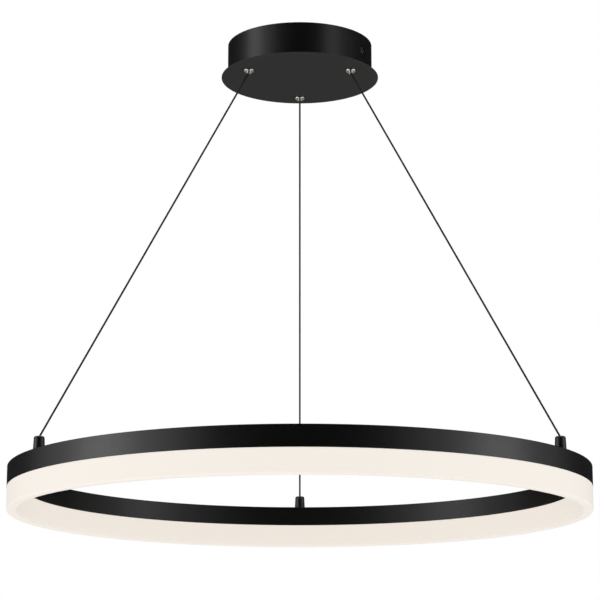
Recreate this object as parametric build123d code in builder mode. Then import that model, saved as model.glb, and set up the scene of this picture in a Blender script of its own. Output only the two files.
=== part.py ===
from build123d import *
import math
import os

# LED ring pendant: a ceiling canopy, three taut cables and a ring that glows downwards.
# Millimetres, +Z up. The origin is on the canopy's axis in the plane of the ceiling.

# Ring
ring_radius = 300.0
rim_width = 17.0
ring_drop = 463.0
channel_height = 21.0
channel_wall = 1.8
channel_edge_radius = 0.5
wiring_chamber_height = 8.2
lead_hole_radius = 1.0
diffuser_height = 24.0
diffuser_floor_width = 10.0
diffuser_wall = 2.0
diffuser_inner_edge_radius = 0.8
diffuser_outer_edge_radius = 1.8
diffuser_lip_headroom = 3.2
diffuser_lip_thickness = 1.2
diffuser_reveal = 0.2
led_strip_width = 7.0
led_strip_thickness = 0.3
led_count = 108
led_length = 3.5
led_width = 2.8
led_height = 0.7

# Cables
cable_count = 3
first_cable_angle = 90.0
cable_radius = 1.0
cable_tail = 4.0
mouth_bend_radius = 6.0

# Cable anchors on the ring
anchor_height = 13.5
anchor_taper = 0.6
anchor_edge_radius = 2.0
anchor_collar_height = 6.5
anchor_foot_width = 0.8
spigot_wall = 0.95
spigot_recess = 2.0
insert_wall = 0.75
insert_flange_width = 0.9
insert_flange_thickness = 0.7
insert_floor_gap = 2.0
end_stop_wall = 1.05
end_stop_length = 8.0
end_stop_grip = 5.0

# Cable grippers in the canopy
gripper_inset = 15.0
dome_overhang = 1.6
dome_height = 2.6
dome_rim = 0.7
shank_wall = 0.7
plunger_lip = 0.7
plunger_mouth_edge_radius = 0.4
plunger_collar_height = 1.2
nozzle_length = 1.6
ball_radius = 1.0
balls_per_gripper = 3
ball_height = 6.0
ball_cover = 1.8
cone_angle = 8.0
cone_margin = 0.3
spring_length = 10.0
spring_wire_radius = 0.3
spring_turns = 4
gripper_cap_height = 2.0
gripper_cap_spigot = 1.4
gripper_cap_edge_radius = 0.5
lock_nut_wall = 2.0
lock_nut_height = 4.0

# Canopy
cup_radius = 77.5
cup_height = 35.0
cup_wall = 1.2
cup_lip_width = 6.5
cup_foot_radius = 1.0
plate_overhang = 6.8
plate_thickness = 1.5
plate_edge_radius = 0.5
stud_radius = 1.5
stud_length = 6.0
stud_chamfer = 0.4
stud_nut_width = 5.5
stud_nut_height = 2.4
stud_nut_gap = 0.3
lip_stud_count = 3
first_lip_stud_angle = 30.0

# Ceiling bracket
bracket_cup_gap = 13.3
bracket_thickness = 1.5
wire_hole_radius = 13.0
box_slot_spacing = 88.9
small_box_slot_spacing = 69.85
slot_width = 5.0
slot_length = 14.0
tab_width = 14.0
tab_foot = 6.0
tab_bend_radius = 2.5
tab_cup_gap = 1.5
ground_screw_x = 26.0
ground_screw_y = 26.0
ground_screw_radius = 2.0
ground_head_radius = 3.6
ground_head_height = 2.2
ground_head_edge_radius = 0.7
ground_slot_width = 0.7
ground_slot_depth = 1.1

# Side screws of the canopy
set_screw_angles = (-30.0, 150.0)
set_screw_depth = 17.5
set_screw_radius = 2.0
set_screw_reach = 5.0
set_screw_head_radius = 3.8
set_screw_head_sink = 0.5
set_screw_head_edge_radius = 0.9
set_screw_socket_width = 3.0
set_screw_socket_depth = 1.4

# Driver
driver_end_gap = 11.3
driver_width = 38.0
driver_height = 20.0
driver_offset = 8.0
driver_corner_radius = 3.0
driver_ear_length = 9.0
driver_ear_width = 12.0
driver_ear_thickness = 2.5
driver_lid_thickness = 2.0
driver_lid_edge_radius = 1.0
terminal_bay_length = 13.0
terminal_bay_depth = 10.0
terminal_length = 10.0
terminal_height = 9.0
terminal_pitch = 7.5
terminal_mouth_radius = 1.6
terminal_mouth_height = 3.0
terminal_screw_radius = 1.5
terminal_screw_depth = 3.0
mains_poles = 3
lamp_poles = 2

# Clearances
seam_gap = 0.1
lip_clearance = 0.15
thread_clearance = 0.05
running_clearance = 0.05
ball_clearance = 0.05
cable_clearance = 0.2
hole_clearance = 0.2
screw_head_clearance = 0.6

os.makedirs("parts", exist_ok=True)

# Heights of the ring's levels
ring_top = -ring_drop
web_top = ring_top - channel_wall - wiring_chamber_height
web_under = web_top - channel_wall
channel_under = ring_top - channel_height
strip_under = web_under - led_strip_thickness
floor_under = channel_under - diffuser_height

# Heights of the canopy's levels
cup_foot = -cup_height
lip_top = cup_foot + cup_wall
plate_under = cup_foot - plate_thickness
dome_under = plate_under - dome_height
nozzle_mouth = dome_under - nozzle_length
driver_top = cup_foot + driver_height

# Radii of the ring and the canopy that several pieces share
rim_middle = ring_radius - rim_width / 2
inner_radius = ring_radius - rim_width
cup_inner_radius = cup_radius - cup_wall
lip_inner_radius = cup_inner_radius - cup_lip_width
plate_radius = cup_radius + plate_overhang
gripper_circle_radius = cup_radius - gripper_inset
bracket_radius = cup_inner_radius - bracket_cup_gap
tab_outer_face = cup_inner_radius - tab_cup_gap
tab_drop = set_screw_depth + tab_foot
cup_screw_hole_radius = set_screw_head_radius + screw_head_clearance
stud_nut_corner = stud_nut_width / 2 / math.cos(math.radians(30))
lip_stud_circle = cup_inner_radius - stud_nut_gap - stud_nut_corner
driver_length = 2 * (lip_inner_radius - driver_end_gap - driver_ear_length)

# Cable: its lean between the two mouths, which flare to lead it round its bends
anchor_top = ring_top + anchor_height
cable_bore_radius = cable_radius + cable_clearance
cable_span = rim_middle - gripper_circle_radius
cable_lean = math.atan2(cable_span, nozzle_mouth - anchor_top)
bend_reach = mouth_bend_radius * math.tan(cable_lean / 2)
flare_radius = mouth_bend_radius - cable_bore_radius
flare_depth = flare_radius * math.sin(cable_lean)
flare_reach = cable_bore_radius + flare_radius * (1 - math.cos(cable_lean))
upper_bend_level = nozzle_mouth + flare_depth - bend_reach
lower_bend_level = anchor_top - flare_depth + bend_reach

# Gripper: the balls touch the cable inside a cone that opens upwards
plunger_radius = flare_reach + plunger_lip
guide_radius = plunger_radius + running_clearance
ball_level = plate_under + ball_height
ball_orbit = cable_radius + ball_clearance + ball_radius
cone_slope = math.tan(math.radians(cone_angle))
cone_radius_at_balls = ball_orbit + (ball_radius + ball_clearance) / math.cos(math.radians(cone_angle))
cone_foot = ball_level - (cone_radius_at_balls - guide_radius) / cone_slope
cone_top = ball_level + cone_margin / cone_slope
spring_bore_radius = cone_radius_at_balls + cone_margin
shank_radius = spring_bore_radius + shank_wall
dome_radius = shank_radius + dome_overhang
collar_under = max(ball_level + ball_radius + ball_cover, cone_top + seam_gap)
plunger_top = collar_under + plunger_collar_height
spring_top = plunger_top + spring_length
shank_top = spring_top + gripper_cap_spigot
cap_top = shank_top + gripper_cap_height

# Anchor: shells that fit over one another, from the cable's end stop outwards
end_stop_radius = cable_radius + thread_clearance + end_stop_wall
spigot_radius = end_stop_radius + thread_clearance + spigot_wall
insert_radius = spigot_radius + thread_clearance + insert_wall
insert_flange_radius = insert_radius + insert_flange_width
anchor_base_radius = insert_flange_radius + hole_clearance + anchor_foot_width
anchor_top_radius = anchor_base_radius - anchor_taper
insert_length = channel_wall + wiring_chamber_height - insert_floor_gap
spigot_length = insert_length - spigot_recess
anchor_shoulder = ring_top + anchor_collar_height
end_stop_top = anchor_shoulder - seam_gap
cable_end = end_stop_top - end_stop_grip

cable_angles = [first_cable_angle + 360 / cable_count * index for index in range(cable_count)]
lip_stud_angles = [first_lip_stud_angle + 360 / lip_stud_count * index for index in range(lip_stud_count)]
driver_stud_x = driver_length / 2 + driver_ear_length / 2
driver_stud_places = [(-driver_stud_x, driver_offset), (driver_stud_x, driver_offset)]
lip_stud_places = [
    (lip_stud_circle * math.cos(math.radians(angle)), lip_stud_circle * math.sin(math.radians(angle)))
    for angle in lip_stud_angles
]


def outward(angle):
    """Direction that points away from the canopy's axis at this angle."""
    return Vector(math.cos(math.radians(angle)), math.sin(math.radians(angle)), 0)


def upright_plane(radius, angle):
    """Plane through an upright axis at this radius and angle: x outward, y up."""
    direction = outward(angle)
    return Plane(origin=direction * radius, x_dir=direction, z_dir=direction.cross(Vector(0, 0, 1)))


def upright_axis(radius, angle):
    """Upright axis at this radius and angle."""
    return Axis(outward(angle) * radius, (0, 0, 1))


def side_plane(radius, angle, height):
    """Plane that faces outward at this radius, angle and height."""
    direction = outward(angle)
    centre = direction * radius + Vector(0, 0, height)
    return Plane(origin=centre, x_dir=Vector(0, 0, 1).cross(direction), z_dir=direction)


# Ceiling bracket: a slotted disc with two bent tabs for the side screws
with BuildPart() as ceiling_bracket:
    with BuildSketch(Plane.XY.offset(-bracket_thickness)):
        Circle(bracket_radius)
    extrude(amount=bracket_thickness)
    for angle in set_screw_angles:
        with BuildSketch(upright_plane(0, angle)):
            with BuildLine():
                FilletPolyline(
                    (bracket_radius - tab_width / 2, -bracket_thickness / 2),
                    (tab_outer_face - bracket_thickness / 2, -bracket_thickness / 2),
                    (tab_outer_face - bracket_thickness / 2, -tab_drop),
                    radius=tab_bend_radius,
                )
            trace(line_width=bracket_thickness)
        extrude(amount=tab_width / 2, both=True)
        with BuildSketch(side_plane(tab_outer_face, angle, -set_screw_depth)):
            Circle(set_screw_radius + thread_clearance)
        extrude(amount=-bracket_thickness, mode=Mode.SUBTRACT)
    with BuildSketch(Plane.XY.offset(-bracket_thickness)):
        Circle(wire_hole_radius)
        with GridLocations(box_slot_spacing, 0, 2, 1):
            SlotOverall(slot_length, slot_width)
        with GridLocations(0, small_box_slot_spacing, 1, 2):
            SlotOverall(slot_length, slot_width, rotation=90)
        with Locations((ground_screw_x, ground_screw_y)):
            Circle(ground_screw_radius + thread_clearance)
    extrude(amount=bracket_thickness, mode=Mode.SUBTRACT)
ceiling_bracket.part.label = "ceiling_bracket"
export_step(ceiling_bracket.part, "parts/ceiling_bracket.step")

# Earth screw under the bracket
with BuildPart() as ground_screw:
    with BuildSketch(Plane.XY.offset(-bracket_thickness)):
        with Locations((ground_screw_x, ground_screw_y)):
            Circle(ground_head_radius)
    extrude(amount=-ground_head_height)
    fillet(ground_screw.edges().group_by(Axis.Z)[0], ground_head_edge_radius)
    with BuildSketch(Plane.XY.offset(-bracket_thickness - ground_head_height)):
        with Locations((ground_screw_x, ground_screw_y)):
            Rectangle(ground_head_radius, ground_slot_width)
            Rectangle(ground_slot_width, ground_head_radius)
    extrude(amount=ground_slot_depth, mode=Mode.SUBTRACT)
    with BuildSketch(Plane.XY.offset(-bracket_thickness)):
        with Locations((ground_screw_x, ground_screw_y)):
            Circle(ground_screw_radius)
    extrude(amount=bracket_thickness - seam_gap)
ground_screw.part.label = "ground_screw"
export_step(ground_screw.part, "parts/ground_screw.step")

# Cup of the canopy: open at the ceiling, with an inward lip at its foot
with BuildPart() as canopy_cup:
    with BuildSketch(Plane.XZ):
        with BuildLine():
            Polyline(
                (cup_radius, 0),
                (cup_radius, cup_foot),
                (lip_inner_radius, cup_foot),
                (lip_inner_radius, lip_top),
                (cup_inner_radius, lip_top),
                (cup_inner_radius, 0),
                close=True,
            )
        foot = make_face().vertices().sort_by(Axis.X)[-2:].sort_by(Axis.Y)[0]
        fillet(foot, cup_foot_radius)
    revolve(axis=Axis.Z)
    for angle in set_screw_angles:
        with BuildSketch(side_plane(cup_radius, angle, -set_screw_depth)):
            Circle(cup_screw_hole_radius)
        extrude(amount=-cup_wall - tab_cup_gap, mode=Mode.SUBTRACT)
    with BuildSketch(Plane.XY.offset(cup_foot)):
        with Locations(*lip_stud_places):
            Circle(stud_radius + hole_clearance)
    extrude(amount=cup_wall, mode=Mode.SUBTRACT)
canopy_cup.part.label = "canopy_cup"
export_step(canopy_cup.part, "parts/canopy_cup.step")

# Plate under the cup, with a hole for each gripper
with BuildPart() as canopy_plate:
    with BuildSketch(Plane.XY.offset(plate_under)):
        Circle(plate_radius)
    extrude(amount=plate_thickness)
    fillet(canopy_plate.edges(), plate_edge_radius)
    with BuildSketch(Plane.XY.offset(plate_under)):
        with PolarLocations(gripper_circle_radius, cable_count, start_angle=first_cable_angle):
            Circle(shank_radius + hole_clearance)
    extrude(amount=plate_thickness, mode=Mode.SUBTRACT)
canopy_plate.part.label = "canopy_plate"
export_step(canopy_plate.part, "parts/canopy_plate.step")

# Studs welded to the plate: some hold the cup's lip, two hold the driver's ears
with BuildPart() as plate_studs:
    with BuildSketch(Plane.XY.offset(cup_foot)):
        with Locations(*lip_stud_places, *driver_stud_places):
            Circle(stud_radius)
    extrude(amount=stud_length)
    chamfer(plate_studs.edges().group_by(Axis.Z)[-1], stud_chamfer)
plate_studs.part.label = "plate_studs"
export_step(plate_studs.part, "parts/plate_studs.step")

# Nuts on those studs
with BuildPart() as plate_nuts:
    for level, places in ((lip_top, lip_stud_places), (cup_foot + driver_ear_thickness, driver_stud_places)):
        with BuildSketch(Plane.XY.offset(level)):
            with Locations(*places):
                RegularPolygon(stud_nut_width / 2, 6, major_radius=False)
                Circle(stud_radius + thread_clearance, mode=Mode.SUBTRACT)
        extrude(amount=stud_nut_height)
plate_nuts.part.label = "plate_nuts"
export_step(plate_nuts.part, "parts/plate_nuts.step")

# Side screws: the head sits in the cup's hole against the bracket's tab
with BuildPart() as canopy_set_screws:
    for angle in set_screw_angles:
        with BuildSketch(side_plane(tab_outer_face, angle, -set_screw_depth)):
            Circle(set_screw_head_radius)
        extrude(amount=cup_radius - set_screw_head_sink - tab_outer_face)
        crown = canopy_set_screws.edges(Select.LAST).sort_by(Axis((0, 0, 0), outward(angle)))[-1]
        fillet(crown, set_screw_head_edge_radius)
        with BuildSketch(side_plane(cup_radius - set_screw_head_sink, angle, -set_screw_depth)):
            RegularPolygon(set_screw_socket_width / 2, 6, major_radius=False)
        extrude(amount=-set_screw_socket_depth, mode=Mode.SUBTRACT)
        with BuildSketch(side_plane(tab_outer_face, angle, -set_screw_depth)):
            Circle(set_screw_radius)
        extrude(amount=-set_screw_reach)
canopy_set_screws.part.label = "canopy_set_screws"
export_step(canopy_set_screws.part, "parts/canopy_set_screws.step")

# Driver case: a block with a terminal bay at each end and two screw ears
with BuildPart() as driver_case:
    with BuildSketch(Plane.XY.offset(cup_foot)):
        with Locations((0, driver_offset)):
            RectangleRounded(driver_length, driver_width, driver_corner_radius)
    extrude(amount=driver_height - driver_lid_thickness)
    with BuildSketch(Plane.XY.offset(cup_foot)):
        with Locations((0, driver_offset)):
            SlotOverall(driver_length + 2 * driver_ear_length, driver_ear_width)
        with Locations(*driver_stud_places):
            Circle(stud_radius + hole_clearance, mode=Mode.SUBTRACT)
    extrude(amount=driver_ear_thickness)
    bay_centre = driver_length / 2 - terminal_bay_length / 2
    with BuildSketch(Plane.XY.offset(driver_top)):
        with Locations((-bay_centre, driver_offset), (bay_centre, driver_offset)):
            Rectangle(terminal_bay_length, driver_width)
    extrude(amount=-terminal_bay_depth, mode=Mode.SUBTRACT)
driver_case.part.label = "driver_case"
export_step(driver_case.part, "parts/driver_case.step")

# Driver lid between the terminal bays
with BuildPart() as driver_lid:
    with BuildSketch(Plane.XY.offset(driver_top - driver_lid_thickness)):
        with Locations((0, driver_offset)):
            Rectangle(driver_length - 2 * terminal_bay_length, driver_width)
    extrude(amount=driver_lid_thickness)
    fillet(driver_lid.edges().group_by(Axis.Z)[-1], driver_lid_edge_radius)
driver_lid.part.label = "driver_lid"
export_step(driver_lid.part, "parts/driver_lid.step")

# Screw terminals: a wire mouth in the end and a screw well on top of each pole
for name, side, poles in (("mains_terminal", -1, mains_poles), ("lamp_terminal", 1, lamp_poles)):
    terminal_x = side * (driver_length / 2 - terminal_bay_length + terminal_length / 2)
    terminal_foot = driver_top - terminal_bay_depth
    terminal_end = terminal_x + side * terminal_length / 2
    end_face = Plane(
        origin=(terminal_end, driver_offset, terminal_foot + terminal_mouth_height),
        x_dir=(0, 1, 0),
        z_dir=(side, 0, 0),
    )
    with BuildPart() as terminal:
        with BuildSketch(Plane.XY.offset(terminal_foot)):
            with Locations((terminal_x, driver_offset)):
                Rectangle(terminal_length, poles * terminal_pitch)
        extrude(amount=terminal_height)
        with BuildSketch(Plane.XY.offset(terminal_foot + terminal_height)):
            with Locations((terminal_x, driver_offset)):
                with GridLocations(0, terminal_pitch, 1, poles):
                    Circle(terminal_screw_radius)
        extrude(amount=-terminal_screw_depth, mode=Mode.SUBTRACT)
        with BuildSketch(end_face):
            with GridLocations(terminal_pitch, 0, poles, 1):
                Circle(terminal_mouth_radius)
        extrude(amount=-terminal_length / 2, mode=Mode.SUBTRACT)
    terminal.part.label = name
    export_step(terminal.part, f"parts/{name}.step")


def biarc(start, start_way, end, end_way):
    """Two arcs with one tangent at their join, from one point and direction to another."""
    chord = end - start
    ways = start_way + end_way
    bend = 2 * (1 - start_way.dot(end_way))
    along = chord.dot(ways)
    reach = (-along + math.sqrt(along * along + bend * chord.dot(chord))) / bend
    join = (start + end + (start_way - end_way) * reach) * 0.5
    join_way = (end - end_way * reach - start - start_way * reach).normalized()
    TangentArc(start, join, tangent=start_way)
    TangentArc(join, end, tangent=join_way)


# Spring form: quarter turns of a steady helix between the plunger's collar and the cap
spring_radius = spring_bore_radius - running_clearance - 2 * spring_wire_radius
spring_rise = spring_length - 2 * spring_wire_radius - 2 * seam_gap
quarter_turns = 4 * spring_turns
spring_foot = plunger_top + seam_gap + spring_wire_radius
points_per_turn = 40


def helix_point(quarter):
    """Point of the spring's helix after this many quarter turns, from the spring's axis."""
    turn = quarter * math.pi / 2
    height = spring_foot + spring_rise * quarter / quarter_turns
    return Vector(spring_radius * math.cos(turn), spring_radius * math.sin(turn), height)


def helix_way(quarter):
    """Direction of the spring's helix after this many quarter turns."""
    turn = quarter * math.pi / 2
    climb = spring_rise / (spring_turns * 2 * math.pi)
    return Vector(-spring_radius * math.sin(turn), spring_radius * math.cos(turn), climb).normalized()


def least_gap(points, wire_radius):
    """Least gap between the turns of a coil, measured on points along its line."""
    apart = points_per_turn // 2
    pairs = ((first, second) for index, first in enumerate(points) for second in points[index + apart :])
    return min((first - second).length for first, second in pairs) - 2 * wire_radius


# Grippers, cables and anchors, one of each at every cable angle
for number, angle in enumerate(cable_angles, start=1):
    gripper_plane = upright_plane(gripper_circle_radius, angle)
    gripper_axis = upright_axis(gripper_circle_radius, angle)
    gripper_centre = outward(angle) * gripper_circle_radius
    anchor_plane = upright_plane(rim_middle, angle)
    anchor_axis = upright_axis(rim_middle, angle)

    # Gripper body: a dome under the plate and a hollow shank that rises through it
    with BuildPart() as gripper_body:
        with BuildSketch(gripper_plane):
            with BuildLine():
                Polyline(
                    (guide_radius, cone_foot),
                    (guide_radius, dome_under),
                    (guide_radius + dome_rim, dome_under),
                )
                TangentArc(
                    (dome_radius, plate_under - dome_rim),
                    (guide_radius + dome_rim, dome_under),
                    tangent=(0, -1),
                )
                Polyline(
                    (dome_radius, plate_under - dome_rim),
                    (dome_radius, plate_under),
                    (shank_radius, plate_under),
                    (shank_radius, shank_top),
                    (spring_bore_radius, shank_top),
                    (spring_bore_radius, cone_top),
                    (guide_radius, cone_foot),
                )
            make_face()
        revolve(axis=gripper_axis)
    gripper_body.part.label = f"gripper_body_{number}"
    export_step(gripper_body.part, f"parts/gripper_body_{number}.step")

    # Plunger: a tube with a ball window per ball, its mouth below the dome, its collar under the spring
    with BuildPart() as gripper_plunger:
        with BuildSketch(gripper_plane):
            with BuildLine():
                Polyline(
                    (flare_reach, nozzle_mouth),
                    (plunger_radius, nozzle_mouth),
                    (plunger_radius, collar_under),
                    (spring_bore_radius - running_clearance, collar_under),
                    (spring_bore_radius - running_clearance, plunger_top),
                    (cable_bore_radius, plunger_top),
                    (cable_bore_radius, nozzle_mouth + flare_depth),
                )
                TangentArc(
                    (cable_bore_radius, nozzle_mouth + flare_depth),
                    (flare_reach, nozzle_mouth),
                    tangent=(0, -1),
                )
            mouth = make_face().vertices().group_by(Axis.Y)[0].sort_by(Axis.X)[-1]
            fillet(mouth, plunger_mouth_edge_radius)
        revolve(axis=gripper_axis)
        for index in range(balls_per_gripper):
            window = side_plane(0, angle + 360 / balls_per_gripper * index, ball_level)
            with BuildSketch(Plane(gripper_centre + window.origin, x_dir=window.x_dir, z_dir=window.z_dir)):
                Circle(ball_radius + ball_clearance)
            extrude(amount=plunger_radius, mode=Mode.SUBTRACT)
    gripper_plunger.part.label = f"gripper_plunger_{number}"
    export_step(gripper_plunger.part, f"parts/gripper_plunger_{number}.step")

    # Grip balls in the plunger's windows
    with BuildPart() as gripper_balls:
        for index in range(balls_per_gripper):
            place = gripper_centre + outward(angle + 360 / balls_per_gripper * index) * ball_orbit
            with Locations(place + Vector(0, 0, ball_level)):
                Sphere(ball_radius)
    gripper_balls.part.label = f"gripper_balls_{number}"
    export_step(gripper_balls.part, f"parts/gripper_balls_{number}.step")

    # Spring over the plunger
    with BuildPart() as gripper_spring:
        with BuildLine() as coil:
            for quarter in range(quarter_turns):
                biarc(
                    gripper_centre + helix_point(quarter),
                    helix_way(quarter),
                    gripper_centre + helix_point(quarter + 1),
                    helix_way(quarter + 1),
                )
        with BuildSketch(Plane(origin=coil.line @ 0, z_dir=coil.line % 0)):
            Circle(spring_wire_radius)
        sweep()
    coil_steps = spring_turns * points_per_turn
    coil_points = [coil.line @ (step / coil_steps) for step in range(coil_steps + 1)]
    print(f"spring {number}: least gap between its turns {least_gap(coil_points, spring_wire_radius):.2f} mm")
    gripper_spring.part.label = f"gripper_spring_{number}"
    export_step(gripper_spring.part, f"parts/gripper_spring_{number}.step")

    # Cap that closes the body over the spring
    with BuildPart() as gripper_cap:
        with BuildSketch(gripper_plane):
            with BuildLine():
                Polyline(
                    (cable_bore_radius, spring_top),
                    (spring_bore_radius - thread_clearance, spring_top),
                    (spring_bore_radius - thread_clearance, shank_top),
                    (shank_radius, shank_top),
                    (shank_radius, cap_top),
                    (cable_bore_radius, cap_top),
                    close=True,
                )
            make_face()
        revolve(axis=gripper_axis)
        fillet(gripper_cap.edges().group_by(Axis.Z)[-1].sort_by(SortBy.LENGTH)[-1], gripper_cap_edge_radius)
    gripper_cap.part.label = f"gripper_cap_{number}"
    export_step(gripper_cap.part, f"parts/gripper_cap_{number}.step")

    # Cable: upright in the gripper, one straight taut run, upright in the anchor
    with BuildPart() as suspension_cable:
        with BuildLine(gripper_plane) as route:
            FilletPolyline(
                (0, cap_top + cable_tail),
                (0, upper_bend_level),
                (cable_span, lower_bend_level),
                (cable_span, cable_end),
                radius=[mouth_bend_radius, mouth_bend_radius],
            )
        with BuildSketch(Plane(origin=route.line @ 0, z_dir=route.line % 0)):
            Circle(cable_radius)
        sweep()
    cable_length = route.wire().length
    tube_volume = math.pi * cable_radius**2 * cable_length
    print(
        f"cable {number}: length {cable_length:.1f} mm, bend radii {mouth_bend_radius} and",
        f"{mouth_bend_radius} mm, volume over section times length",
        round(suspension_cable.part.volume / tube_volume, 4),
    )
    suspension_cable.part.label = f"suspension_cable_{number}"
    export_step(suspension_cable.part, f"parts/suspension_cable_{number}.step")

    # End stop crimped on the cable, under the shoulder in the anchor
    with BuildPart() as cable_end_stop:
        with BuildSketch(anchor_plane):
            with BuildLine():
                Polyline(
                    (0, end_stop_top - end_stop_length),
                    (end_stop_radius, end_stop_top - end_stop_length),
                    (end_stop_radius, end_stop_top),
                    (cable_radius + thread_clearance, end_stop_top),
                    (cable_radius + thread_clearance, cable_end - thread_clearance),
                    (0, cable_end - thread_clearance),
                    close=True,
                )
            make_face()
        revolve(axis=anchor_axis)
    cable_end_stop.part.label = f"cable_end_stop_{number}"
    export_step(cable_end_stop.part, f"parts/cable_end_stop_{number}.step")

    # Anchor: a tapered cap with a hollow threaded spigot that screws into the ring
    with BuildPart() as cable_anchor:
        with BuildSketch(anchor_plane):
            with BuildLine():
                Polyline(
                    (flare_reach, anchor_top),
                    (anchor_top_radius, anchor_top),
                    (anchor_base_radius, ring_top),
                    (insert_flange_radius + hole_clearance, ring_top),
                    (insert_flange_radius + hole_clearance, ring_top + insert_flange_thickness + seam_gap),
                    (spigot_radius, ring_top + insert_flange_thickness + seam_gap),
                    (spigot_radius, ring_top - spigot_length),
                    (end_stop_radius + thread_clearance, ring_top - spigot_length),
                    (end_stop_radius + thread_clearance, anchor_shoulder),
                    (cable_bore_radius, anchor_shoulder),
                    (cable_bore_radius, anchor_top - flare_depth),
                )
                TangentArc(
                    (cable_bore_radius, anchor_top - flare_depth),
                    (flare_reach, anchor_top),
                    tangent=(0, 1),
                )
            crown = make_face().vertices().group_by(Axis.Y)[-1].sort_by(Axis.X)[-1]
            fillet(crown, anchor_edge_radius)
        revolve(axis=anchor_axis)
    cable_anchor.part.label = f"cable_anchor_{number}"
    export_step(cable_anchor.part, f"parts/cable_anchor_{number}.step")

# Lock nuts that clamp the grippers to the plate
with BuildPart() as gripper_lock_nuts:
    with BuildSketch(Plane.XY.offset(cup_foot)):
        with PolarLocations(gripper_circle_radius, cable_count, start_angle=first_cable_angle):
            RegularPolygon(shank_radius + lock_nut_wall, 6, major_radius=False, rotation=30)
            Circle(shank_radius + thread_clearance, mode=Mode.SUBTRACT)
    extrude(amount=lock_nut_height)
gripper_lock_nuts.part.label = "gripper_lock_nuts"
export_step(gripper_lock_nuts.part, "parts/gripper_lock_nuts.step")

# Ring channel: a box that holds the wiring, and two legs that hold the diffuser
with BuildPart() as ring_channel:
    with BuildSketch(Plane.XZ):
        with BuildLine():
            Polyline(
                (inner_radius, ring_top),
                (ring_radius, ring_top),
                (ring_radius, channel_under),
                (ring_radius - channel_wall, channel_under),
                (ring_radius - channel_wall, web_under),
                (inner_radius + channel_wall, web_under),
                (inner_radius + channel_wall, channel_under),
                (inner_radius, channel_under),
                close=True,
            )
        top_corners = make_face().vertices().group_by(Axis.Y)[-1]
        fillet(top_corners, channel_edge_radius)
        with Locations((rim_middle, web_top + wiring_chamber_height / 2)):
            Rectangle(rim_width - 2 * channel_wall, wiring_chamber_height, mode=Mode.SUBTRACT)
    revolve(axis=Axis.Z)
    with BuildSketch(Plane.XY.offset(ring_top)):
        with PolarLocations(rim_middle, cable_count, start_angle=first_cable_angle):
            Circle(insert_radius + hole_clearance)
    extrude(amount=-channel_wall, mode=Mode.SUBTRACT)
    lead_hole_circle = (inner_radius + channel_wall + rim_middle - led_strip_width / 2) / 2
    with BuildSketch(Plane.XY.offset(web_top)):
        with PolarLocations(lead_hole_circle, cable_count, start_angle=first_cable_angle):
            Circle(lead_hole_radius)
    extrude(amount=-channel_wall, mode=Mode.SUBTRACT)
ring_channel.part.label = "ring_channel"
export_step(ring_channel.part, "parts/ring_channel.step")

# Threaded inserts in the ring's top wall, a flange above it and a body in the wiring chamber
with BuildPart() as anchor_inserts:
    with BuildSketch(Plane.XY.offset(ring_top)):
        with PolarLocations(rim_middle, cable_count, start_angle=first_cable_angle):
            Circle(insert_flange_radius)
            Circle(spigot_radius + thread_clearance, mode=Mode.SUBTRACT)
    extrude(amount=insert_flange_thickness)
    with BuildSketch(Plane.XY.offset(ring_top)):
        with PolarLocations(rim_middle, cable_count, start_angle=first_cable_angle):
            Circle(insert_radius)
            Circle(spigot_radius + thread_clearance, mode=Mode.SUBTRACT)
    extrude(amount=-insert_length)
anchor_inserts.part.label = "anchor_inserts"
export_step(anchor_inserts.part, "parts/anchor_inserts.step")

# Diffuser: upright outer wall, narrow floor and an inner wall that leans out towards the floor
lean_top = inner_radius + diffuser_reveal
lean_foot = ring_radius - diffuser_floor_width
shoulder = channel_under - seam_gap
lean = math.atan2(lean_foot - lean_top, shoulder - floor_under)
lean_wall = diffuser_wall / math.cos(lean)
floor_top = floor_under + diffuser_wall
lip_top_level = web_under - diffuser_lip_headroom
outer_lip = ring_radius - channel_wall - lip_clearance
inner_lip = inner_radius + channel_wall + lip_clearance
inner_lip_back = inner_lip + diffuser_lip_thickness
lean_start = shoulder - (inner_lip_back - lean_top - lean_wall) / math.tan(lean)
lean_floor = lean_top + lean_wall + (shoulder - floor_top) * math.tan(lean)
with BuildPart() as diffuser:
    with BuildSketch(Plane.XZ) as section:
        with BuildLine():
            Polyline(
                (ring_radius - diffuser_reveal, shoulder),
                (outer_lip, shoulder),
                (outer_lip, lip_top_level),
                (outer_lip - diffuser_lip_thickness, lip_top_level),
                (outer_lip - diffuser_lip_thickness, floor_top),
                (lean_floor, floor_top),
                (inner_lip_back, lean_start),
                (inner_lip_back, lip_top_level),
                (inner_lip, lip_top_level),
                (inner_lip, shoulder),
                (lean_top, shoulder),
                (lean_foot, floor_under),
                (ring_radius - diffuser_reveal, floor_under),
                close=True,
            )
        make_face()
        outer_corner = section.vertices().group_by(Axis.Y)[0].sort_by(Axis.X)[-1]
        fillet(outer_corner, diffuser_outer_edge_radius)
        inner_corner = section.vertices().group_by(Axis.Y)[0].sort_by(Axis.X)[0]
        fillet(inner_corner, diffuser_inner_edge_radius)
    revolve(axis=Axis.Z)
diffuser.part.label = "diffuser"
export_step(diffuser.part, "parts/diffuser.step")

# LED strip under the web
with BuildPart() as led_strip:
    with BuildSketch(Plane.XY.offset(web_under)):
        Circle(rim_middle + led_strip_width / 2)
        Circle(rim_middle - led_strip_width / 2, mode=Mode.SUBTRACT)
    extrude(amount=-led_strip_thickness)
led_strip.part.label = "led_strip"
export_step(led_strip.part, "parts/led_strip.step")

# LEDs on the strip
with BuildPart() as led_chips:
    with BuildSketch(Plane.XY.offset(strip_under)):
        with PolarLocations(rim_middle, led_count):
            Rectangle(led_width, led_length)
    extrude(amount=-led_height)
led_chips.part.label = "led_chips"
export_step(led_chips.part, "parts/led_chips.step")
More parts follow.
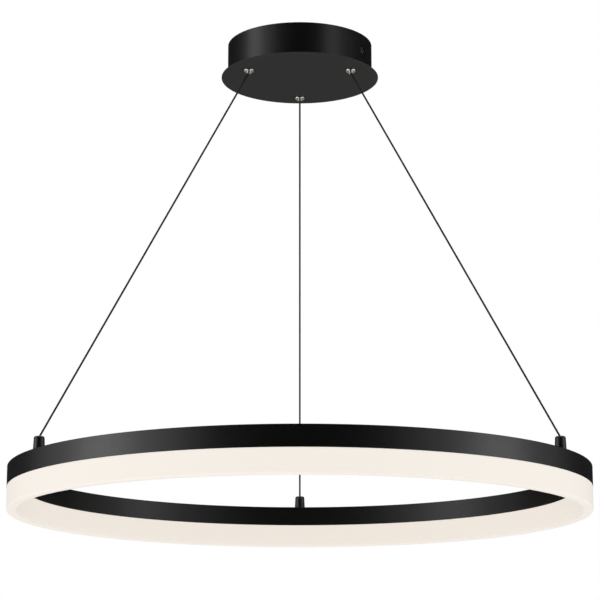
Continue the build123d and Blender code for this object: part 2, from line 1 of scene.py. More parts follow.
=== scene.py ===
"""Looks of an LED ring pendant: its finishes, twisted cables and springs, and the studio round it."""

import logging
import math
from dataclasses import dataclass
from enum import Enum

import bpy
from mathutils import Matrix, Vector


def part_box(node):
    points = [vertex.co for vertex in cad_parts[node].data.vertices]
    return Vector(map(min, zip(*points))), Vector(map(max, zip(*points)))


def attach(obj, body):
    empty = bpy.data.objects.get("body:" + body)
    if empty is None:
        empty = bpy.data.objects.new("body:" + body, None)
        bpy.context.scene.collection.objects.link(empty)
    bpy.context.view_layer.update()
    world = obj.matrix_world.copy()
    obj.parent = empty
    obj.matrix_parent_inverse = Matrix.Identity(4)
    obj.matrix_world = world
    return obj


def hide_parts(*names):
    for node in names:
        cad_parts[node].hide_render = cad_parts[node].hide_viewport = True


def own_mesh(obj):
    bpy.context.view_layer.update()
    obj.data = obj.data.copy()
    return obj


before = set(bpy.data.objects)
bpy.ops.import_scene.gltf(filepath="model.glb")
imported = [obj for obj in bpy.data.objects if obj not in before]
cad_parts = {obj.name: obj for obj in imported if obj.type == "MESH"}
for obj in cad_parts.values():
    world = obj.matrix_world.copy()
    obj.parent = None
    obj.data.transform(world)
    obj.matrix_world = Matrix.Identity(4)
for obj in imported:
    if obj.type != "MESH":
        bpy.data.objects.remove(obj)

Colour = tuple[float, float, float]
Face = tuple[int, ...]
Ring = list[Vector]

LOG = logging.getLogger("pendant")
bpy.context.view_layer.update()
UP = Vector((0.0, 0.0, 1.0))
WHITE = (1.0, 1.0, 1.0, 1.0)

# The body that holds the upper ends of the cables and the springs
CARRIER = "canopy"

# Faces of a new piece that meet at a larger angle keep a sharp edge
SHARP_ANGLE = math.radians(40.0)


class Slot(Enum):
    """Names of the material slots for the cable and the springs."""

    CABLE = "cable_black"
    SPRING = "spring_steel"


class Station(Enum):
    """The three cable places: number and angle in degrees from +X."""

    BACK = (1, 90.0)
    LEFT_FRONT = (2, 210.0)
    RIGHT_FRONT = (3, 330.0)

    @property
    def number(self) -> int:
        """Number that ends the names of this station's nodes."""
        return self.value[0]

    @property
    def outward(self) -> Vector:
        """Level direction from the canopy's axis to this station."""
        angle = math.radians(self.value[1])
        return Vector((math.cos(angle), math.sin(angle), 0.0))

    @property
    def sideways(self) -> Vector:
        """Level direction square to outward."""
        return UP.cross(self.outward)


class ShaderNodes:
    """A shader node tree with short calls to add and join nodes."""

    def __init__(self, tree: bpy.types.NodeTree) -> None:
        """Empties the tree and keeps it.

        Args:
            tree: the material's or the world's node tree.
        """
        tree.nodes.clear()
        self.tree = tree

    def add(self, kind: str, values: dict | None = None, **settings: object) -> bpy.types.Node:
        """Adds a node.

        Args:
            kind: the node's type name.
            values: input names or places, with the values that they take.
            settings: attributes of the node itself.

        Returns:
            The new node.
        """
        node = self.tree.nodes.new(kind)
        for key, value in settings.items():
            setattr(node, key, value)
        for key, value in (values or {}).items():
            node.inputs[key].default_value = value
        return node

    def join(self, start: bpy.types.NodeSocket, end: bpy.types.NodeSocket) -> None:
        """Links one socket to another."""
        self.tree.links.new(start, end)


def blank_material(name: str) -> tuple[bpy.types.Material, ShaderNodes, bpy.types.Node]:
    """Makes a material that holds nothing but its output node.

    Args:
        name: the material's name.

    Returns:
        The material, its nodes and the output node.
    """
    made = bpy.data.materials.new(name)
    made.use_nodes = True
    nodes = ShaderNodes(made.node_tree)
    return made, nodes, nodes.add("ShaderNodeOutputMaterial")


@dataclass(frozen=True)
class Finish:
    """A surface finish, which makes one procedural material. Sizes are in metres.

    The mottle mixes the colour with its shade and varies the roughness, and the relief is a
    fine bump.
    """

    name: str
    colour: Colour
    shade: Colour
    roughness: float
    roughness_spread: float = 0.04
    mottle_size: float = 0.006
    mottle_detail: float = 4.0
    relief_size: float = 0.0008
    relief_detail: float = 2.0
    relief_depth: float = 0.00001
    metallic: float = 0.0
    specular: float = 0.5

    def material(self) -> bpy.types.Material:
        """Makes the material on the first call, and gives the same one after that.

        Returns:
            The material.
        """
        made = bpy.data.materials.get(self.name)
        if made:
            return made
        made, nodes, output = blank_material(self.name)
        values = {"Metallic": self.metallic, "Specular IOR Level": self.specular}
        shader = nodes.add("ShaderNodeBsdfPrincipled", values)
        nodes.join(shader.outputs["BSDF"], output.inputs["Surface"])
        place = nodes.add("ShaderNodeTexCoord")
        self.add_tone(nodes, place, shader)
        self.add_relief(nodes, place, shader)
        return made

    def add_tone(self, nodes: ShaderNodes, place: bpy.types.Node, shader: bpy.types.Node) -> None:
        """Varies the colour and the roughness with the mottle.

        Args:
            nodes: the material's nodes.
            place: the node that gives the place on the surface.
            shader: the surface shader.
        """
        values = {"Scale": 1.0 / self.mottle_size, "Detail": self.mottle_detail}
        noise = nodes.add("ShaderNodeTexNoise", values)
        nodes.join(place.outputs["Object"], noise.inputs["Vector"])
        self.mix_tone(nodes, noise.outputs["Fac"], shader)
        limits = {
            "To Min": self.roughness - self.roughness_spread,
            "To Max": self.roughness + self.roughness_spread,
        }
        spread = nodes.add("ShaderNodeMapRange", limits)
        nodes.join(noise.outputs["Fac"], spread.inputs["Value"])
        nodes.join(spread.outputs["Result"], shader.inputs["Roughness"])

    def mix_tone(self, nodes: ShaderNodes, share: bpy.types.NodeSocket, shader: bpy.types.Node) -> None:
        """Mixes the shade and the colour on the shader.

        Args:
            nodes: the material's nodes.
            share: the socket that gives the share of the colour.
            shader: the surface shader.
        """
        values = {"A": (*self.shade, 1.0), "B": (*self.colour, 1.0)}
        tone = nodes.add("ShaderNodeMix", values, data_type="RGBA")
        nodes.join(share, tone.inputs["Factor"])
        nodes.join(tone.outputs["Result"], shader.inputs["Base Color"])

    def add_relief(self, nodes: ShaderNodes, place: bpy.types.Node, shader: bpy.types.Node) -> None:
        """Gives the surface its fine bump.

        Args:
            nodes: the material's nodes.
            place: the node that gives the place on the surface.
            shader: the surface shader.
        """
        values = {"Scale": 1.0 / self.relief_size, "Detail": self.relief_detail}
        noise = nodes.add("ShaderNodeTexNoise", values)
        nodes.join(place.outputs["Object"], noise.inputs["Vector"])
        bump = nodes.add("ShaderNodeBump", {"Strength": 1.0, "Distance": self.relief_depth})
        nodes.join(noise.outputs["Fac"], bump.inputs["Height"])
        nodes.join(bump.outputs["Normal"], shader.inputs["Normal"])


def axis_distance(nodes: ShaderNodes, place: bpy.types.Node) -> bpy.types.NodeSocket:
    """Measures how far the surface is from the upright axis of its object.

    Args:
        nodes: the material's nodes.
        place: the node that gives the place on the surface.

    Returns:
        The socket that gives the distance in metres.
    """
    flat = nodes.add("ShaderNodeVectorMath", {1: (1.0, 1.0, 0.0)}, operation="MULTIPLY")
    nodes.join(place.outputs["Object"], flat.inputs[0])
    radius = nodes.add("ShaderNodeVectorMath", operation="LENGTH")
    nodes.join(flat.outputs["Vector"], radius.inputs[0])
    return radius.outputs["Value"]


@dataclass(frozen=True)
class ChannelFinish(Finish):
    """Coat of the ring's channel, which shines less on the inner wall than elsewhere.

    The dull level gives way to the specular level between two distances from the ring's axis.
    """

    dull_specular: float = 0.63
    dull_end: float = 0.2834
    shine_start: float = 0.2845

    def add_tone(self, nodes: ShaderNodes, place: bpy.types.Node, shader: bpy.types.Node) -> None:
        """Varies the colour and the roughness with the mottle, and dulls the inner wall.

        Args:
            nodes: the material's nodes.
            place: the node that gives the place on the surface.
            shader: the surface shader.
        """
        super().add_tone(nodes, place, shader)
        limits = {
            "From Min": self.dull_end,
            "From Max": self.shine_start,
            "To Min": self.dull_specular,
            "To Max": self.specular,
        }
        ramp = nodes.add("ShaderNodeMapRange", limits)
        nodes.join(axis_distance(nodes, place), ramp.inputs["Value"])
        nodes.join(ramp.outputs["Result"], shader.inputs["Specular IOR Level"])


@dataclass(frozen=True)
class OpalFinish(Finish):
    """Milky acrylic of the ring's diffuser, which light enters and leaves again.

    The leaning inner wall has the shade, which is painted shade inside the ring, and the floor and
    the outer wall have the colour. One gives way to the other between two distances from the
    ring's axis. The tint is how far red, green and blue light spread under the surface, as shares
    of the depth.
    """

    milkiness: float = 0.12
    depth: float = 0.002
    tint: Colour = (1.0, 0.9, 0.75)
    painted_shade_end: float = 0.2885
    colour_start: float = 0.2905

    def add_tone(self, nodes: ShaderNodes, place: bpy.types.Node, shader: bpy.types.Node) -> None:
        """Paints shade on the leaning inner wall, and lets light spread under the surface.

        Args:
            nodes: the material's nodes.
            place: the node that gives the place on the surface.
            shader: the surface shader.
        """
        # Painted shade: the inner wall, nearer the axis, takes the darker shade colour
        limits = {"From Min": self.painted_shade_end, "From Max": self.colour_start}
        ramp = nodes.add("ShaderNodeMapRange", limits)
        nodes.join(axis_distance(nodes, place), ramp.inputs["Value"])
        self.mix_tone(nodes, ramp.outputs["Result"], shader)
        shader.inputs["Roughness"].default_value = self.roughness
        shader.inputs["Subsurface Weight"].default_value = self.milkiness
        shader.inputs["Subsurface Scale"].default_value = self.depth
        shader.inputs["Subsurface Radius"].default_value = self.tint


SATIN_BLACK = Finish(
    "SatinBlackCoat", colour=(0.0008, 0.0008, 0.0007), shade=(0.0004, 0.0004, 0.0004),
    roughness=0.35, relief_size=0.0007, relief_depth=0.000005, specular=1.0,
)
CHANNEL_BLACK = ChannelFinish(
    "ChannelBlackCoat", colour=(0.0008, 0.0008, 0.0007), shade=(0.0004, 0.0004, 0.0004),
    roughness=0.35, relief_size=0.0007, relief_depth=0.000005, specular=1.0,
)
# Canopy plate: the cup's satin black coat, shown matte with a lighter colour that is painted reflection of
# the grey surroundings below
PLATE_BLACK_PAINTED_REFLECTION = Finish(
    "BlackCoatPaintedReflection", colour=(0.0310, 0.0308, 0.0302), shade=(0.0265, 0.0263, 0.0258),
    roughness=0.55, relief_size=0.0007, relief_depth=0.000005, specular=0.04,
)
BLACK_OXIDE = Finish(
    "BlackOxide", colour=(0.034, 0.034, 0.035), shade=(0.018, 0.018, 0.019),
    roughness=0.2, mottle_size=0.0015, relief_size=0.0003, relief_depth=0.000003, specular=1.0,
)
# Chrome plating of the gripper bodies and plungers; its warm tint is painted reflection of the cream
# diffuser's light
WARM_TINTED_CHROME = Finish(
    "ChromePaintedWarmReflection", colour=(0.93, 0.90, 0.85), shade=(0.88, 0.85, 0.80),
    roughness=0.14, roughness_spread=0.03, mottle_size=0.002,
    relief_size=0.0004, relief_depth=0.000001, metallic=1.0,
)
ZINC_STEEL = Finish(
    "ZincPlatedSteel", colour=(0.62, 0.63, 0.65), shade=(0.46, 0.47, 0.49),
    roughness=0.34, roughness_spread=0.08, mottle_size=0.012,
    relief_size=0.0009, relief_depth=0.000006, metallic=1.0,
)
SPRING_STEEL = Finish(
    "SpringWire", colour=(0.55, 0.55, 0.57), shade=(0.40, 0.40, 0.42),
    roughness=0.22, mottle_size=0.0012, relief_size=0.0003, relief_depth=0.000002, metallic=1.0,
)
CRIMP_ALUMINIUM = Finish(
    "CrimpedAluminium", colour=(0.72, 0.72, 0.73), shade=(0.56, 0.56, 0.57),
    roughness=0.38, mottle_size=0.002, relief_size=0.0005, relief_depth=0.000008, metallic=1.0,
)
EARTH_GREEN = Finish(
    "EarthGreenEnamel", colour=(0.035, 0.22, 0.07), shade=(0.022, 0.16, 0.05),
    roughness=0.32, mottle_size=0.002, relief_size=0.0005, relief_depth=0.000004,
)
DRIVER_WHITE = Finish(
    "MouldedWhite", colour=(0.78, 0.78, 0.76), shade=(0.70, 0.70, 0.68),
    roughness=0.48, relief_size=0.0006, relief_depth=0.00002,
)
TERMINAL_GREY = Finish(
    "MouldedGrey", colour=(0.20, 0.21, 0.22), shade=(0.15, 0.155, 0.16),
    roughness=0.36, mottle_size=0.003, relief_size=0.0005,
)
CABLE_BLACK = Finish(
    "CableBlack", colour=(0.020, 0.020, 0.0195), shade=(0.012, 0.012, 0.0115),
    roughness=0.5, roughness_spread=0.1, mottle_size=0.0012, relief_size=0.0002, specular=0.25,
)
# The shade colour is painted shade on the diffuser's leaning inner wall
OPAL = OpalFinish(
    "OpalAcrylic", colour=(0.857, 0.806, 0.742), shade=(0.832, 0.772, 0.698),
    roughness=0.55, relief_size=0.0006, relief_depth=0.000006, specular=0.08,
)
LED_BOARD = Finish(
    "WhiteSolderMask", colour=(0.82, 0.82, 0.79), shade=(0.74, 0.74, 0.71),
    roughness=0.4, mottle_size=0.004, relief_size=0.0004,
)
LED_PHOSPHOR = Finish(
    "YellowPhosphor", colour=(0.86, 0.66, 0.16), shade=(0.78, 0.56, 0.10),
    roughness=0.3, mottle_size=0.0015, relief_size=0.0003,
)


def dress(finish: Finish, *names: str) -> None:
    """Gives CAD nodes a finish.

    Args:
        finish: the finish.
        names: the nodes.
    """
    for name in names:
        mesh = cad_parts[name].data
        mesh.materials.clear()
        mesh.materials.append(finish.material())
        LOG.info("dressed %s in %s", name, finish.name)


def add_piece(name: str, rings: list[Ring], finish: Finish) -> bpy.types.Object:
    """Makes a closed tube through rings of points, which rides on the canopy.

    Args:
        name: the piece's name.
        rings: rings of as many points each, from one end to the other.
        finish: the finish.

    Returns:
        The piece.
    """
    sides = len(rings[0])
    points = [point for ring in rings for point in ring]
    faces = [
        (row * sides + side, row * sides + (side + 1) % sides,
         (row + 1) * sides + (side + 1) % sides, (row + 1) * sides + side)
        for row in range(len(rings) - 1)
        for side in range(sides)
    ]
    faces.append(tuple(reversed(range(sides))))
    faces.append(tuple(range(len(points) - sides, len(points))))
    mesh = bpy.data.meshes.new(name)
    mesh.from_pydata(points, [], faces)
    mesh.shade_smooth()
    mesh.set_sharp_from_angle(angle=SHARP_ANGLE)
    mesh.materials.append(finish.material())
    piece = bpy.data.objects.new(name, mesh)
    bpy.context.scene.collection.objects.link(piece)
    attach(piece, CARRIER)
    LOG.info("built %s with %d points", name, len(points))
    return piece


def even_points(points: list[Vector], step: float) -> list[Vector]:
    """Points at even distances along a line.

    Args:
        points: the line.
        step: the wanted distance, which is rounded to fit the line's length.

    Returns:
        The points, with both ends.
    """
    lengths = [(second - first).length for first, second in zip(points, points[1:])]
    total = sum(lengths)
    count = max(1, round(total / step))
    found = [points[0]]
    piece, passed = 0, 0.0
    for index in range(1, count):
        wanted = total * index / count
        while passed + lengths[piece] < wanted:
            passed += lengths[piece]
            piece += 1
        found.append(points[piece].lerp(points[piece + 1], (wanted - passed) / lengths[piece]))
    found.append(points[-1])
    return found


@dataclass
class SuspensionCable:
    """A taut cable of strands laid round a core, from its gripper down to its anchor.

    The route gives distance from the canopy's axis and height, from the cable's top end to the
    end that the anchor holds. The exit and the two bends are places in it. The jacket fill is
    the share of the strands' grooves that the jacket takes up.
    """

    station: Station
    finish: Finish = CABLE_BLACK
    diameter: float = 0.0020
    length: float = 0.5119
    strands: int = 6
    strands_across: int = 3
    points_per_strand: int = 4
    lay_length: float = 0.0126
    rings_per_lay: int = 24
    jacket_fill: float = 0.85
    route: tuple[tuple[float, float], ...] = (
        (0.06250, -0.00910),
        (0.06250, -0.03592),
        (0.06250, -0.03992),
        (0.06445, -0.04341),
        (0.06835, -0.05040),
        (0.28565, -0.43980),
        (0.28955, -0.44679),
        (0.29150, -0.45028),
        (0.29150, -0.45428),
        (0.29150, -0.46160),
    )
    route_detail: int = 32
    exit_place: int = 1
    upper_bend: int = 2
    lower_bend: int = 7
    mouth_gap: float = 0.007

    def point(self, reach: float, height: float) -> Vector:
        """Point at a distance from the canopy's axis and at a height."""
        return self.station.outward * reach + UP * height

    def centreline(self) -> list[Vector]:
        """Reads the smooth line that the route's spline gives.

        Returns:
            Points along the cable.
        """
        curve = bpy.data.curves.new("cable_route", "CURVE")
        curve.dimensions = "3D"
        spline = curve.splines.new("NURBS")
        spline.points.add(len(self.route) - 1)
        for control, place in zip(spline.points, self.route):
            control.co = (*self.point(*place), 1.0)
        spline.order_u = 3
        spline.use_endpoint_u = True
        spline.resolution_u = self.route_detail
        holder = bpy.data.objects.new("cable_route", curve)
        line = bpy.data.meshes.new_from_object(holder)
        points = [vertex.co.copy() for vertex in line.vertices]
        bpy.data.objects.remove(holder)
        bpy.data.curves.remove(curve)
        bpy.data.meshes.remove(line)
        return points

    def strand_reach(self, angle: float) -> float:
        """Distance from the cable's axis to the jacket that partly fills the strands' grooves.

        Args:
            angle: angle round the cable, from the middle of a strand.

        Returns:
            The distance in metres.
        """
        strand_radius = self.diameter / (2 * self.strands_across)
        circle = self.diameter / 2 - strand_radius
        span = math.tau / self.strands
        off = (angle + span / 2) % span - span / 2
        inside = strand_radius**2 - (circle * math.sin(off)) ** 2
        bare = circle * math.cos(off) + math.sqrt(max(0.0, inside))
        return bare + (self.diameter / 2 - bare) * self.jacket_fill

    def jacket_ring(self, centre: Vector, along: Vector, twist: float) -> Ring:
        """Points of the jacket round one place of the line.

        Args:
            centre: the place.
            along: the line's direction there.
            twist: angle that the strands have turned by there.

        Returns:
            The points, from strand to strand.
        """
        level = self.station.sideways
        across = along.cross(level)
        sides = self.strands * self.points_per_strand
        ring = []
        for side in range(sides):
            angle = math.tau * side / sides
            turned = angle + twist
            out = level * math.cos(turned) + across * math.sin(turned)
            ring.append(centre + out * self.strand_reach(angle))
        return ring

    def build(self) -> bpy.types.Object:
        """Lays the strands along the route, and hides the plain cable of the CAD model.

        Returns:
            The cable.
        """
        line = even_points(self.centreline(), self.lay_length / self.rings_per_lay)
        rings = []
        for index, centre in enumerate(line):
            ahead = line[min(index + 1, len(line) - 1)]
            behind = line[max(index - 1, 0)]
            twist = math.tau * index / self.rings_per_lay
            rings.append(self.jacket_ring(centre, (ahead - behind).normalized(), twist))
        number = self.station.number
        cable = add_piece(f"twisted_cable_{number}", rings, self.finish)
        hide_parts(f"suspension_cable_{number}")
        self.follow_lift(cable)
        return cable

    def follow_lift(self, cable: bpy.types.Object) -> None:
        """Gives the cable a mesh of its own.

        Args:
            cable: the cable.
        """
        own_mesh(cable)


@dataclass
class CableGripper:
    """A self-locking cable gripper: domed body, release plunger, balls, spring and cap."""

    station: Station
    # Chrome whose warm tint is painted reflection
    turned: Finish = WARM_TINTED_CHROME
    plated: Finish = ZINC_STEEL
    hardened: Finish = SPRING_STEEL
    wire_radius: float = 0.0003
    active_turns: float = 4.0
    end_turns: float = 1.0
    end_pitch: float = 0.00062
    steps_per_turn: int = 40
    wire_sides: int = 10

    def dress(self) -> None:
        """Gives the turned and plated pieces and the balls their finishes."""
        number = self.station.number
        dress(self.turned, f"gripper_body_{number}", f"gripper_plunger_{number}")
        dress(self.plated, f"gripper_cap_{number}")
        dress(self.hardened, f"gripper_balls_{number}")

    def spring_rise(self, turn: float, height: float) -> float:
        """Height of the wire's middle over the spring's lowest wire.

        Args:
            turn: turns from the spring's foot.
            height: rise of the whole wire.

        Returns:
            The height in metres.
        """
        closed = self.end_turns * self.end_pitch
        pitch = (height - 2 * closed) / self.active_turns
        foot = min(turn, self.end_turns) * self.end_pitch
        middle = min(max(turn - self.end_turns, 0.0), self.active_turns) * pitch
        top = max(turn - self.end_turns - self.active_turns, 0.0) * self.end_pitch
        return foot + middle + top

    def wire_ring(self, middle: Vector, out: Vector) -> Ring:
        """Points round the wire at one place.

        Args:
            middle: the wire's middle there.
            out: level direction from the spring's axis.

        Returns:
            The points.
        """
        angles = [math.tau * side / self.wire_sides for side in range(self.wire_sides)]
        return [
            middle + (out * math.cos(angle) + UP * math.sin(angle)) * self.wire_radius
            for angle in angles
        ]

    def build_spring(self) -> bpy.types.Object:
        """Winds the spring over the plunger, with closed end turns.

        Returns:
            The spring.
        """
        number = self.station.number
        low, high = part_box(f"gripper_spring_{number}")
        centre = (low + high) / 2
        radius = (high.x - low.x) / 2 - self.wire_radius
        height = high.z - low.z - 2 * self.wire_radius
        turns = self.active_turns + 2 * self.end_turns
        rings = []
        for step in range(round(turns * self.steps_per_turn) + 1):
            turn = step / self.steps_per_turn
            angle = math.tau * turn
            out = Vector((math.cos(angle), math.sin(angle), 0.0))
            rise = low.z + self.wire_radius + self.spring_rise(turn, height)
            rings.append(self.wire_ring(Vector((centre.x, centre.y, rise)) + out * radius, out))
        spring = add_piece(f"coil_spring_{number}", rings, self.hardened)
        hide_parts(f"gripper_spring_{number}")
        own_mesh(spring)
        return spring


@dataclass
class CableAnchor:
    """A tapered anchor on the ring, with the crimped stop that it hides."""

    station: Station
    coated: Finish = SATIN_BLACK
    crimped: Finish = CRIMP_ALUMINIUM

    def dress(self) -> None:
        """Gives both pieces their finishes."""
        number = self.station.number
        dress(self.coated, f"cable_anchor_{number}")
        dress(self.crimped, f"cable_end_stop_{number}")


@dataclass
class Canopy:
    """The ceiling canopy: bracket, cup, plate and their fasteners."""

    cup: Finish = SATIN_BLACK
    # The plate's grey colour is painted reflection
    plate: Finish = PLATE_BLACK_PAINTED_REFLECTION
    side_screws: Finish = BLACK_OXIDE
    hidden_steel: Finish = ZINC_STEEL
    earth_screw: Finish = EARTH_GREEN

    def dress(self) -> None:
        """Gives the pieces their finishes."""
        dress(self.cup, "canopy_cup")
        dress(self.plate, "canopy_plate")
        dress(self.side_screws, "canopy_set_screws")
        dress(self.hidden_steel, "ceiling_bracket", "plate_studs", "plate_nuts", "gripper_lock_nuts")
        dress(self.earth_screw, "ground_screw")


@dataclass
class Driver:
    """The LED driver in the canopy, with its two screw terminals."""

    case: Finish = DRIVER_WHITE
    terminals: Finish = TERMINAL_GREY

    def dress(self) -> None:
        """Gives the moulded pieces their finishes."""
        dress(self.case, "driver_case", "driver_lid")
        dress(self.terminals, "mains_terminal", "lamp_terminal")


@dataclass
class LightRing:
    """The hanging ring: channel, inserts, diffuser and LED strip."""

    channel: Finish = CHANNEL_BLACK
    inserts: Finish = ZINC_STEEL
    diffuser: Finish = OPAL
    board: Finish = LED_BOARD
    chips: Finish = LED_PHOSPHOR

    def dress(self) -> None:
        """Gives the pieces their finishes."""
        dress(self.channel, "ring_channel")
        dress(self.inserts, "anchor_inserts")
        dress(self.diffuser, "diffuser")
        dress(self.board, "led_strip")
        dress(self.chips, "led_chips")


def bearing(azimuth: float) -> Vector:
    """Level direction at an azimuth in degrees from the camera's side, which grows to the right."""
    angle = math.radians(azimuth)
    return Vector((math.sin(angle), -math.cos(angle), 0.0))


@dataclass(frozen=True)
class SoftBox:
    """A soft strip light beside the object. Radiance 1 looks white in a mirror."""

    name: str
    azimuth: float
    radiance: float
    distance: float = 2.2
    middle: float = -0.46
    width: float = 0.93
    height: float = 0.98

    def build(self) -> bpy.types.Object:
        """Hangs the light so that it faces the object's axis.

        Returns:
            The light.
        """
        lamp = bpy.data.lights.new(self.name, "AREA")
        lamp.shape = "RECTANGLE"
        lamp.size = self.width
        lamp.size_y = self.height
        lamp.energy = self.radiance * math.pi * self.width * self.height
        light = bpy.data.objects.new(self.name, lamp)
        bpy.context.scene.collection.objects.link(light)
        out = bearing(self.azimuth)
        light.location = out * self.distance + UP * self.middle
        light.rotation_mode = "QUATERNION"
        light.rotation_quaternion = (-out).to_track_quat("-Z", "Y")
        light.visible_camera = False
        return light


# Heights of the reflection cards: their foot just over the floor, the heights where upper cards
# take over from lower ones, and their tops
CARD_FOOT = -2.39
CARD_SPLIT = 0.3
REAR_SPLIT = -0.6
LOW_TOP = -1.2
CARD_TOP = 3.0
RAMP_TOP = 4.5
FRONT_TOP = 6.0
GROUND_TOP = -2.38

# Radius of the upright cards, and of the ground card under the object
CARD_RADIUS = 3.2
GROUND_RADIUS = 0.5


@dataclass(frozen=True)
class ReflectionCard:
    """A grey card bent round the object, which only reflections see.

    It runs from one azimuth to another, as bearing counts them. Its lower edge lies at the inner
    radius and its upper edge at the outer one: a card stands upright where these are the same,
    and lies on the floor where its heights are nearly the same.
    """

    name: str
    start: float
    end: float
    tone: float
    low: float = CARD_FOOT
    high: float = CARD_SPLIT
    inner: float = CARD_RADIUS
    outer: float = CARD_RADIUS
    steps: int = 24

    def points(self) -> list[Vector]:
        """Points of the card, a lower and an upper one at each step.

        Returns:
            The points.
        """
        found = []
        for step in range(self.steps + 1):
            out = bearing(self.start + (self.end - self.start) * step / self.steps)
            found += [out * self.inner + UP * self.low, out * self.outer + UP * self.high]
        return found

    def faces(self) -> list[Face]:
        """Faces of the card, one for each step."""
        return [(2 * step, 2 * step + 2, 2 * step + 3, 2 * step + 1) for step in range(self.steps)]


@dataclass
class Studio:
    """Camera, pale floor, white surround, soft strip lights and reflection cards.

    The lens and its sensor are in millimetres, the pitch in radians and the rest in metres. The
    light above and below is the surround's strength straight up and straight down.
    """

    lens: float = 128.62
    sensor_width: float = 36.0
    distance: float = 2.2
    camera_height: float = -0.78425
    camera_side: float = 0.0002
    pitch: float = 0.225
    floor_level: float = -2.4
    floor_radius: float = 7.0
    floor_sides: int = 96
    floor_colour: Colour = (0.96, 0.96, 0.955)
    light_above: float = 0.92
    light_below: float = 1.18
    soft_boxes: tuple[SoftBox, ...] = (
        SoftBox("left_strip", azimuth=-75.0, radiance=0.85),
        SoftBox("right_strip", azimuth=75.0, radiance=0.65),
    )
    cards: tuple[ReflectionCard, ...] = (
        ReflectionCard("front_card", start=-26.0, end=26.0, tone=0.012, high=FRONT_TOP),
        ReflectionCard("left_front_card", start=-40.0, end=-26.0, tone=0.05, high=FRONT_TOP),
        ReflectionCard("right_front_card", start=26.0, end=40.0, tone=0.05, high=FRONT_TOP),
        ReflectionCard("left_ramp", start=-64.0, end=-40.0, tone=0.62),
        ReflectionCard("right_ramp", start=40.0, end=64.0, tone=0.34),
        ReflectionCard("left_high_ramp", start=-64.0, end=-40.0, tone=0.26, low=CARD_SPLIT, high=RAMP_TOP),
        ReflectionCard("right_high_ramp", start=40.0, end=64.0, tone=0.42, low=CARD_SPLIT, high=RAMP_TOP),
        ReflectionCard("left_high_card", start=-88.0, end=-64.0, tone=0.92, low=CARD_SPLIT, high=CARD_TOP),
        ReflectionCard("right_high_card", start=64.0, end=88.0, tone=0.06, low=CARD_SPLIT, high=CARD_TOP),
        ReflectionCard("left_low_card", start=-88.0, end=-64.0, tone=0.01, high=LOW_TOP),
        ReflectionCard("right_low_card", start=64.0, end=88.0, tone=0.01, high=LOW_TOP),
        ReflectionCard("left_turn", start=-115.0, end=-88.0, tone=0.42),
        ReflectionCard("right_turn", start=88.0, end=115.0, tone=0.3),
        ReflectionCard("left_high_turn", start=-115.0, end=-88.0, tone=0.07, low=CARD_SPLIT, high=CARD_TOP),
        ReflectionCard("right_high_turn", start=88.0, end=115.0, tone=0.02, low=CARD_SPLIT, high=CARD_TOP),
        ReflectionCard("rear_card", start=115.0, end=245.0, tone=0.02, low=REAR_SPLIT, high=CARD_TOP),
        ReflectionCard("rear_low_card", start=115.0, end=245.0, tone=0.2, high=REAR_SPLIT),
        ReflectionCard(
            "ground_card", start=-180.0, end=180.0, tone=0.01,
            high=GROUND_TOP, inner=0.01, outer=GROUND_RADIUS,
        ),
        ReflectionCard(
            "front_ground_card", start=-30.0, end=30.0, tone=0.01,
            high=GROUND_TOP, inner=GROUND_RADIUS,
        ),
        ReflectionCard(
            "rear_ground_card", start=110.0, end=250.0, tone=0.01,
            high=GROUND_TOP, inner=GROUND_RADIUS,
        ),
    )
    card_blind_rays: tuple[str, ...] = ("camera", "diffuse", "transmission", "volume_scatter", "shadow")

    def add_mesh(self, name: str, points: list[Vector], faces: list[Face]) -> bpy.types.Object:
        """Adds a mesh of the set, which isn't part of the object.

        Args:
            name: its name.
            points: its points.
            faces: its faces.

        Returns:
            The new object.
        """
        mesh = bpy.data.meshes.new(name)
        mesh.from_pydata(points, [], faces)
        made = bpy.data.objects.new(name, mesh)
        bpy.context.scene.collection.objects.link(made)
        return made

    def build_camera(self) -> None:
        """Stands the camera below the ring, looking a little up."""
        lens = bpy.data.cameras.new("camera")
        lens.lens = self.lens
        lens.sensor_width = self.sensor_width
        camera = bpy.data.objects.new("camera", lens)
        bpy.context.scene.collection.objects.link(camera)
        camera.location = (self.camera_side, -self.distance, self.camera_height)
        camera.rotation_euler = (math.pi / 2 + self.pitch, 0.0, 0.0)
        bpy.context.scene.camera = camera

    def build_world(self) -> None:
        """Makes a white surround that lights the object a little more from below.

        The camera and reflections see plain white, and only the light has the change of strength.
        """
        world = bpy.data.worlds.new("white_surround")
        bpy.context.scene.world = world
        world.use_nodes = True
        world.cycles.sampling_method = "NONE"
        nodes = ShaderNodes(world.node_tree)
        output = nodes.add("ShaderNodeOutputWorld")
        place = nodes.add("ShaderNodeTexCoord")
        parts = nodes.add("ShaderNodeSeparateXYZ")
        nodes.join(place.outputs["Generated"], parts.inputs["Vector"])
        limits = {
            "From Min": -1.0,
            "From Max": 1.0,
            "To Min": self.light_below,
            "To Max": self.light_above,
        }
        level = nodes.add("ShaderNodeMapRange", limits)
        nodes.join(parts.outputs["Z"], level.inputs["Value"])
        light = nodes.add("ShaderNodeBackground", {"Color": WHITE})
        nodes.join(level.outputs["Result"], light.inputs["Strength"])
        seen = nodes.add("ShaderNodeBackground", {"Color": WHITE, "Strength": 1.0})
        path = nodes.add("ShaderNodeLightPath")
        straight = nodes.add("ShaderNodeMath", operation="MAXIMUM")
        nodes.join(path.outputs["Is Camera Ray"], straight.inputs[0])
        nodes.join(path.outputs["Is Glossy Ray"], straight.inputs[1])
        through = nodes.add("ShaderNodeMath", operation="MAXIMUM")
        nodes.join(straight.outputs[0], through.inputs[0])
        nodes.join(path.outputs["Is Transmission Ray"], through.inputs[1])
        mix = nodes.add("ShaderNodeMixShader")
        nodes.join(through.outputs[0], mix.inputs["Fac"])
        nodes.join(light.outputs["Background"], mix.inputs[1])
        nodes.join(seen.outputs["Background"], mix.inputs[2])
        nodes.join(mix.outputs["Shader"], output.inputs["Surface"])

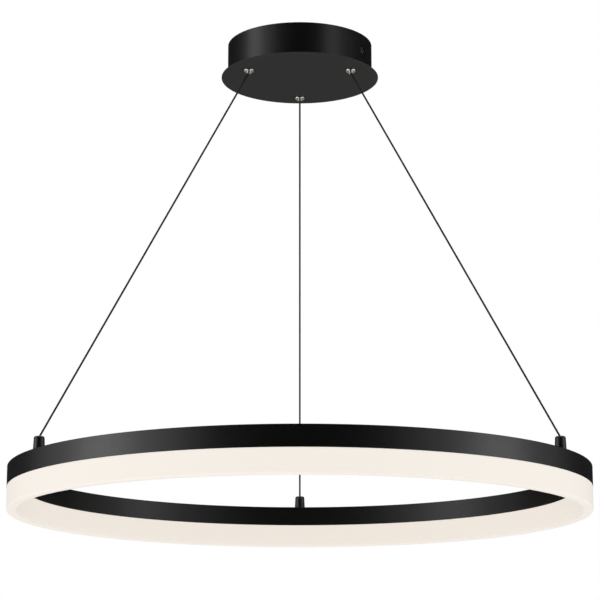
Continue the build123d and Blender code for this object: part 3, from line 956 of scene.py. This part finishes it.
    def build_floor(self) -> None:
        """Lays a pale floor well below the ring, clear from underneath."""
        angles = [math.tau * side / self.floor_sides for side in range(self.floor_sides)]
        rim = [Vector((math.cos(angle), math.sin(angle), 0.0)) * self.floor_radius for angle in angles]
        points = [point + UP * self.floor_level for point in rim]
        floor = self.add_mesh("floor", points, [tuple(range(self.floor_sides))])
        paint, nodes, output = blank_material("PaleFloor")
        shade = nodes.add("ShaderNodeBsdfDiffuse", {"Color": (*self.floor_colour, 1.0)})
        clear = nodes.add("ShaderNodeBsdfTransparent")
        side = nodes.add("ShaderNodeNewGeometry")
        mix = nodes.add("ShaderNodeMixShader")
        nodes.join(side.outputs["Backfacing"], mix.inputs["Fac"])
        nodes.join(shade.outputs["BSDF"], mix.inputs[1])
        nodes.join(clear.outputs["BSDF"], mix.inputs[2])
        nodes.join(mix.outputs["Shader"], output.inputs["Surface"])
        floor.data.materials.append(paint)
        floor.visible_diffuse = False

    def build_cards(self) -> None:
        """Puts up the reflection cards, and hides them from every other kind of ray."""
        for card in self.cards:
            paint, nodes, output = blank_material(card.name)
            shade = nodes.add("ShaderNodeBsdfDiffuse", {"Color": (card.tone, card.tone, card.tone, 1.0)})
            nodes.join(shade.outputs["BSDF"], output.inputs["Surface"])
            made = self.add_mesh(card.name, card.points(), card.faces())
            made.data.materials.append(paint)
            for ray in self.card_blind_rays:
                setattr(made, f"visible_{ray}", False)

    def build(self) -> None:
        """Sets up the whole studio."""
        bpy.context.scene.view_settings.view_transform = "Standard"
        self.build_camera()
        self.build_world()
        self.build_floor()
        self.build_cards()
        for box in self.soft_boxes:
            box.build()
        LOG.info("set up the studio")


def main() -> None:
    """Builds the pendant's looks in order."""
    logging.basicConfig(level=logging.INFO, format="%(name)s: %(message)s")
    Studio().build()
    for station in Station:
        SuspensionCable(station).build()
        gripper = CableGripper(station)
        gripper.dress()
        gripper.build_spring()
        CableAnchor(station).dress()
    Canopy().dress()
    Driver().dress()
    LightRing().dress()


if __name__ == "__main__":
    main()
